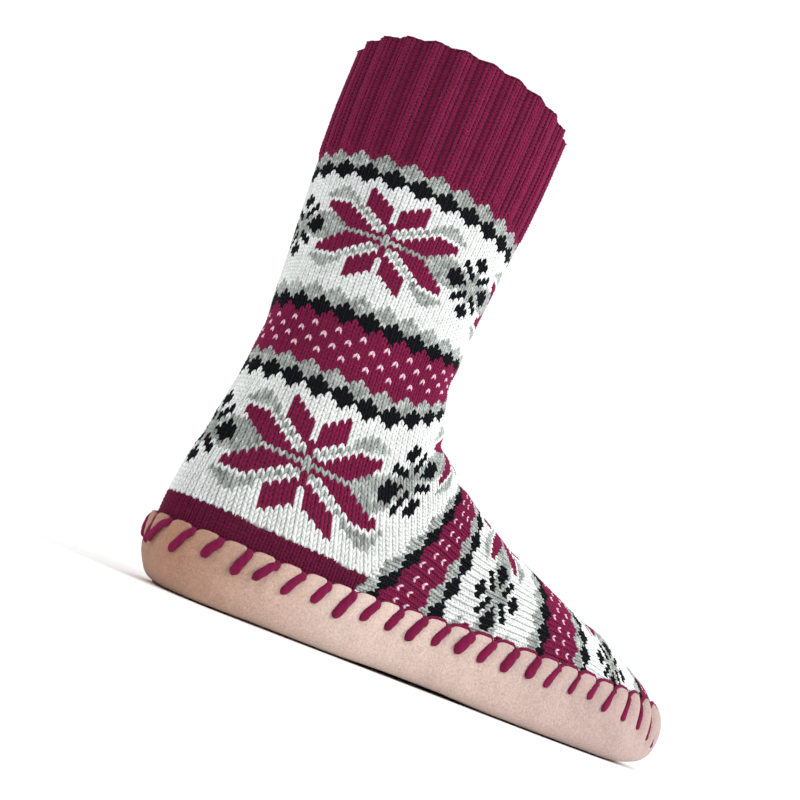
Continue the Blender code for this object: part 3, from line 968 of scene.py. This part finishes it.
def stitch_leg(column):
    """One leg of the blanket stitch as a closed tube, and its yarn's tint: a random tone with
    painted shade in the plies' grooves and at the tips.
    """
    ways = 1 - (1 - np.linspace(0, 1, LEG_PLACES)) ** 1.6
    turn = full_turn(LEG_SIDES)
    toe = smooth_step(edge_x[column], *GATHERED)
    thinner = smooth_step(edge_x[column], *THINNER)
    long = between(LEG_LONG, toe) * rng.normal(1, LONG_SPREAD)
    wide = between(LEG_WIDE, thinner) * rng.normal(1, between(WIDE_SPREAD, toe))
    lean = between(LEG_LEAN, toe) * rng.normal(1, LEAN_SPREAD)
    lean *= np.sign(column) * np.sign(BAND_AROUND // 2 - column)  # none at heel and toe
    path, normal, thin = leg_path(column, long, wide, lean, ways)
    down = smooth_step(ways, 0.25, between((0.7, 0.85), thinner))[:, None]
    slim = thin * between((between(LEG_TOP, thinner), 1), down)
    plies = np.cos(3 * (turn + 6 * ways[:, None] + rng.uniform(0, 6.3)))
    twist = 1 + TWIST * plies
    steps = np.gradient(path, axis=0)
    rings = tube(path, steps, normal, wide * slim * twist, LEG_THICK * wide * thin * twist, turn)
    tips = [path[0] + (path[0] - path[1]) * 0.4, path[-1] + (path[-1] - path[-2]) * 0.4]
    shade = rng.normal(1, SHADE_SPREAD)
    # Painted shade in the grooves between plies, and at the tips
    light = between((0.86, 1), 0.5 + 0.5 * plies).ravel() * shade
    return closed_tube(rings, tips), np.append(light, [0.8 * shade] * 2)


def stitch_run():
    """The yarn along the suede's edge from leg to leg, as a closed ring, and its painted shade in
    the plies' grooves.
    """
    turn = full_turn(RUN_SIDES)
    low = 0.1 + 0.2 * np.sin(math.pi * (FROM_HEEL % 1))
    sunk = band_surface[0] + band_normals[0] * 0.5 + edge_up * low[:, None]
    high = half_wall[0] + 0.5 * RUN_RADIUS
    proud = band_middle[0] + edge_up * high[:, None] - edge_out * 0.25
    path = between((sunk, proud), smooth_step(edge_x, *RUN_SEEN)[:, None])
    plies = np.cos(2 * (turn + 4 * math.pi * FROM_HEEL[:, None]))
    radius = RUN_RADIUS * (1 + RUN_PLIES * plies)
    rings = tube(path, loop_steps(path), band_normals[0], radius, radius, turn)
    faces = grid_faces(BAND_AROUND, RUN_SIDES, closed_rows=True)[:, ::-1]
    # Painted shade in the grooves between plies
    light = between((0.8, 1), 0.5 + 0.5 * plies).ravel()
    return (rings.reshape(-1, 3), faces, np.empty((0, 3), int)), light


def blanket_stitch():
    """The thick yarn that binds the suede to the knit: a leg at every stitch and the run."""
    parts = [stitch_leg(k * COLUMNS) for k in range(STITCHES)] + [stitch_run()]
    points, faces = joined([shell for shell, _ in parts])
    light = np.concatenate([light for _, light in parts])[:, None]
    return add_object("blanket_stitch", points, faces, MAGENTA * STITCH_SHADE * light)


# ---- under the foot and inside


def seam_piece():
    """The machine stitching along the seam under the foot, as short threads."""
    loop, outward = foot_outline(SEAM_STITCHES * SEAM_STEPS)
    turn = full_turn(THREAD_SIDES)
    threads = []
    for k in range(SEAM_STITCHES):
        at = np.arange(SEAM_POINTS) + SEAM_STEPS * k
        path = loop[at] - outward[at] * (SEAM_INSET + rng.normal(0, THREAD_WANDER))
        path[:, 2] = bottom_z(path[:, 0]) - UNDER_OFFSET + THREAD_SUNK
        path[1:-1, 2] -= THREAD_OUT
        steps = np.gradient(path, axis=0)
        rings = tube(path, steps, -UP, THREAD_RADIUS, THREAD_RADIUS, turn)
        threads.append(closed_tube(rings, path[[0, -1]] + 0.1 * UP))
    points, faces = joined(threads)
    return add_object("seam_thread", points, faces)


def welded(points, faces):
    """Points that coincide merged, and quads that lose a corner turned into triangles."""
    rounded = np.round(points, 4)
    _, first, index = np.unique(rounded, axis=0, return_index=True, return_inverse=True)
    faces = index.reshape(-1)[faces]
    repeated = faces == np.roll(faces, -1, axis=1)
    lost = repeated.sum(axis=1)
    triangles = faces[lost == 1][~repeated[lost == 1]].reshape(-1, 3)
    return points[first], [faces[lost == 0], triangles]


def pad_rim(inset):
    """A rim inside the foot's outline, and its half on the side of +Y."""
    loop, outward = foot_outline(PAD_AROUND)
    rim = loop - outward * inset
    return rim, rim[: PAD_AROUND // 2 + 1]


def rim_distance(points, rim):
    """How far points lie from a rim, seen from above."""
    steps = points[:, None, :2] - rim[None, :, :2]
    return np.sqrt((steps**2).sum(axis=2).min(axis=1))


def pad_piece(name, inset, low, high):
    """A flat pad with a round edge, between two heights over the bottom of the surface."""
    rim, half = pad_rim(inset)
    half[[0, -1], 1] = 0
    share = np.sin(np.linspace(-0.5, 0.5, PAD_ACROSS + 1) * math.pi)
    plan = np.stack([np.repeat(half[:, :1], len(share), axis=1), half[:, 1:2] * share], axis=-1)
    away = rim_distance(plan.reshape(-1, 2), rim).reshape(plan.shape[:2])
    away[:, [0, -1]] = 0
    away[[0, -1]] = 0
    radius = 0.5 * (high - low)
    fall = radius * (1 - np.sqrt(1 - (1 - np.minimum(away / radius, 1)) ** 2))
    floor = bottom_z(plan[..., 0])
    upper = np.dstack([plan, floor + high - fall]).reshape(-1, 3)
    lower = np.dstack([plan, floor + low + fall]).reshape(-1, 3)
    faces = grid_faces(*plan.shape[:2], closed_columns=False)
    faces = np.concatenate([faces, faces[:, ::-1] + len(upper)])
    return add_object(name, *welded(np.concatenate([upper, lower]), faces))


def dots_piece():
    """The grip dots printed on the sole panel, in staggered rows."""
    rim, half = pad_rim(SEAM_INSET + SEAM_GAP)
    places = []
    for number in range(-DOT_ROWS, DOT_ROWS + 1):
        x = np.arange(0.5 * DOT_ALONG * (number % 2), FOOT_LENGTH, DOT_ALONG)
        places.append(np.column_stack([x, np.full(len(x), number * DOT_ACROSS)]))
    places = np.concatenate(places)
    wide = np.interp(places[:, 0], half[:, 0], half[:, 1], left=0, right=0)
    clear = (np.abs(places[:, 1]) < wide) & (rim_distance(places, rim) > DOT_MARGIN)
    turn = -full_turn(DOT_SIDES)
    rings = np.array([circle(radius, z, turn) for radius, z in DOT_RINGS])
    dot, quads, triangles = closed_tube(rings, np.outer(DOT_TIPS, UP))
    level = bottom_z(places[:, 0]) - UNDER_OFFSET
    places = np.column_stack([places, level])[clear]
    points, faces = joined([(dot + place, quads, triangles) for place in places])
    return add_object("grip_dots", points, faces)


# ---- materials


class Finish:
    """A material in the making: its shader, and nodes that follow the object's coordinates."""

    def __init__(self, name, roughness, sheen, specular=0.25, tint=WHITE):
        self.material = bpy.data.materials.new(name)
        self.material.use_nodes = True
        self.tree = self.material.node_tree
        self.shader = self.tree.nodes["Principled BSDF"]
        plain = {"Roughness": roughness, "Specular IOR Level": specular, "Sheen Weight": sheen}
        self.feed(self.shader, {**plain, "Sheen Roughness": 0.5, "Sheen Tint": tint})
        self.place = self.node("TexCoord", "Object", {})

    def feed(self, node, inputs):
        """Sets a node's inputs to plain values, or links other nodes' outputs to them."""
        for name, value in inputs.items():
            if isinstance(value, bpy.types.NodeSocket):
                self.tree.links.new(value, node.inputs[name])
            else:
                node.inputs[name].default_value = value

    def node(self, kind, output, inputs, **settings):
        """Adds a node and gives one of its outputs."""
        node = self.tree.nodes.new("ShaderNode" + kind)
        for name, value in settings.items():
            setattr(node, name, value)
        self.feed(node, inputs)
        return node.outputs[output]

    def noise(self, scale, detail=3, rough=0.6):
        inputs = {"Vector": self.place, "Scale": scale, "Detail": detail, "Roughness": rough}
        return self.node("TexNoise", "Fac", inputs)

    def ranged(self, value, low, high, start=0.3, end=0.7):
        """A value mapped from start..end to low..high."""
        inputs = {"Value": value, "From Min": start, "From Max": end, "To Min": low, "To Max": high}
        return self.node("MapRange", "Result", inputs)

    def scaled(self, colour, *values):
        """A colour times some values."""
        for value in values:
            inputs = {0: colour, "Scale": value}
            colour = self.node("VectorMath", "Vector", inputs, operation="SCALE")
        return colour

    def mixed(self, share, first, second):
        inputs = {"A": first, "B": second, "Factor": share}
        return self.node("Mix", "Result", inputs, data_type="RGBA")

    def finish(self, colour, height, strength, distance):
        """The material with this colour and this bump."""
        inputs = {"Strength": strength, "Distance": distance, "Height": height}
        bump = self.node("Bump", "Normal", inputs)
        self.feed(self.shader, {"Base Color": colour, "Normal": bump})
        return self.material


def yarn_material(name, low, high):
    """Knitting yarn: the colour each stitch has, flecked, with a fuzz of fibres."""
    yarn = Finish(name, 0.96, 0.06, 0.07, (1, 0.9, 0.95, 1))
    colour = yarn.node("Attribute", "Color", {}, attribute_name="yarn")
    fleck = yarn.ranged(yarn.noise(1900), low, high)
    cloud = yarn.ranged(yarn.noise(60), 0.94, 1.05)
    fibres = yarn.noise(2600, 4, 0.7)
    return yarn.finish(yarn.scaled(colour, fleck, cloud), fibres, 0.5, 0.0003)


def suede_material(name, colours):
    """Suede: a soft nap, mottled, whose colour goes from the heel's by the side's to the toe's."""
    suede = Finish(name, 0.97, 0.3, 0.12, (1, 0.93, 0.88, 1))
    heel, side, toe = ((*colour, 1) for colour in colours)
    x = suede.node("SeparateXYZ", "X", {"Vector": suede.place})
    share = suede.ranged(x, 0, 1, *HEEL_COLOUR_ENDS)
    further = suede.ranged(x, 0, 1, *TOE_COLOUR_STARTS)
    base = suede.mixed(further, suede.mixed(share, heel, side), toe)
    mottle = suede.ranged(suede.noise(55, 5, 0.7), 0.88, 1.08)
    nap = suede.noise(1150, 4, 0.8)
    grain = suede.ranged(nap, 0.72, 1.2)
    return suede.finish(suede.scaled(base, mottle, grain), nap, 0.8, 0.0006)


def plain_material(name, colour, roughness, sheen, scale, strength):
    """One colour, darker and lighter by a fine grain."""
    plain = Finish(name, roughness, sheen)
    dark, light = ((*(tone * part for part in colour), 1) for tone in (0.84, 1.12))
    grain = plain.noise(scale)
    mixed = plain.mixed(plain.ranged(grain, 0, 1), dark, light)
    return plain.finish(mixed, grain, strength, 0.0003)


# ---- the slipper


knit = yarn_material("knit yarn", 0.86, 1.10), "upper", "knit"
half_leg, half_foot = CUFF_ROWS + LEG_HALF_ROWS, LAST_LEG_LINE + 1 + FOOT_HALF_ROWS
for piece in (
    ground_piece(),
    cuff_piece(),
    rim_piece(),
    knit_piece("knit_leg_upper", CUFF_ROWS, half_leg),
    knit_piece("knit_leg_lower", half_leg, LAST_LEG_LINE),
    knit_piece("knit_foot_back", LAST_LEG_LINE, half_foot),
    knit_piece("knit_foot_front", half_foot, LINES - 1),
    heel_piece(),
):
    settle(piece, *knit)

suede = suede_material("band suede", BAND_COLOURS)
settle(band_piece(), suede, "side_band", "suede_band")
thick_yarn = yarn_material("stitch yarn", 0.78, 1.12)
settle(blanket_stitch(), thick_yarn, "side_band", "yarn")

panel = pad_piece("suede_sole_panel", SEAM_INSET + SEAM_GAP, *PANEL_HEIGHTS)
settle(panel, suede_material("panel suede", PANEL_COLOURS), "sole_panel", "suede_panel")
thread = plain_material("thread", THREAD, 0.8, 0.1, 2000, 0.3)
settle(seam_piece(), thread, "sole_panel", "suede_panel")
rubber = plain_material("grip dots", RUBBER, 0.55, 0, 800, 0.1)
settle(dots_piece(), rubber, "sole_panel", "grip_dots")
felt = plain_material("felt", FELT, 0.97, 0.4, 900, 0.6)
settle(pad_piece("felt_insole", INSOLE_INSET, *INSOLE_HEIGHTS), felt, "insole", "felt")


# ---- stage, light and camera


def stage_floor():
    """A pale plain floor out to where the camera sees no further."""
    turn = full_turn(FLOOR_SIDES)
    rings = [circle(radius, 0, turn) for radius in FLOOR_RINGS]
    points = np.concatenate(rings + [np.zeros((1, 3))]) / MM + (CENTRE_X, 0, 0)
    faces = grid_faces(len(rings), FLOOR_SIDES)
    k = np.arange(FLOOR_SIDES)
    middle = np.stack([np.full_like(k, len(points) - 1), k, (k + 1) % FLOOR_SIDES], axis=1)
    floor, white = add_object("floor", points, [faces, middle]), Finish("floor", 0.9, 0, 0.1)
    white.feed(white.shader, {"Base Color": WHITE})
    floor.data.materials.append(white.material)


def looking(name, data, at, to, roll=0):
    """A light or camera that looks from one point to another."""
    obj = new_object(name, data)
    facing = (Vector(to) - Vector(at)).to_track_quat("-Z", "Y").to_matrix().to_4x4()
    turned = facing @ Matrix.Rotation(math.radians(roll), 4, "Z")
    obj.matrix_world = Matrix.Translation(at) @ turned
    return obj


def area_light(name, at, power, size):
    """A round soft light on the slipper."""
    data = bpy.data.lights.new(name, "AREA")
    data.shape = "DISK"
    data.size = size
    data.energy = power
    looking(name, data, at, LIT)


stage_floor()
area_light("key", (0.75, -0.75, 0.6), 8.5, 0.4)
area_light("back", (0.4, 1, 0.9), 2, 0.8)
world = bpy.data.worlds.new("world")
world.use_nodes = True
background = world.node_tree.nodes["Background"]
background.inputs["Color"].default_value = WHITE
background.inputs["Strength"].default_value = WORLD_LIGHT
camera = bpy.data.cameras.new("camera")
camera.lens = CAMERA_LENS
camera.sensor_width = 36
camera.clip_start = 0.005
scene = bpy.context.scene
scene.world = world
scene.view_settings.view_transform = "Standard"
scene.camera = looking("camera", camera, CAMERA_AT, CAMERA_TARGET, CAMERA_ROLL)
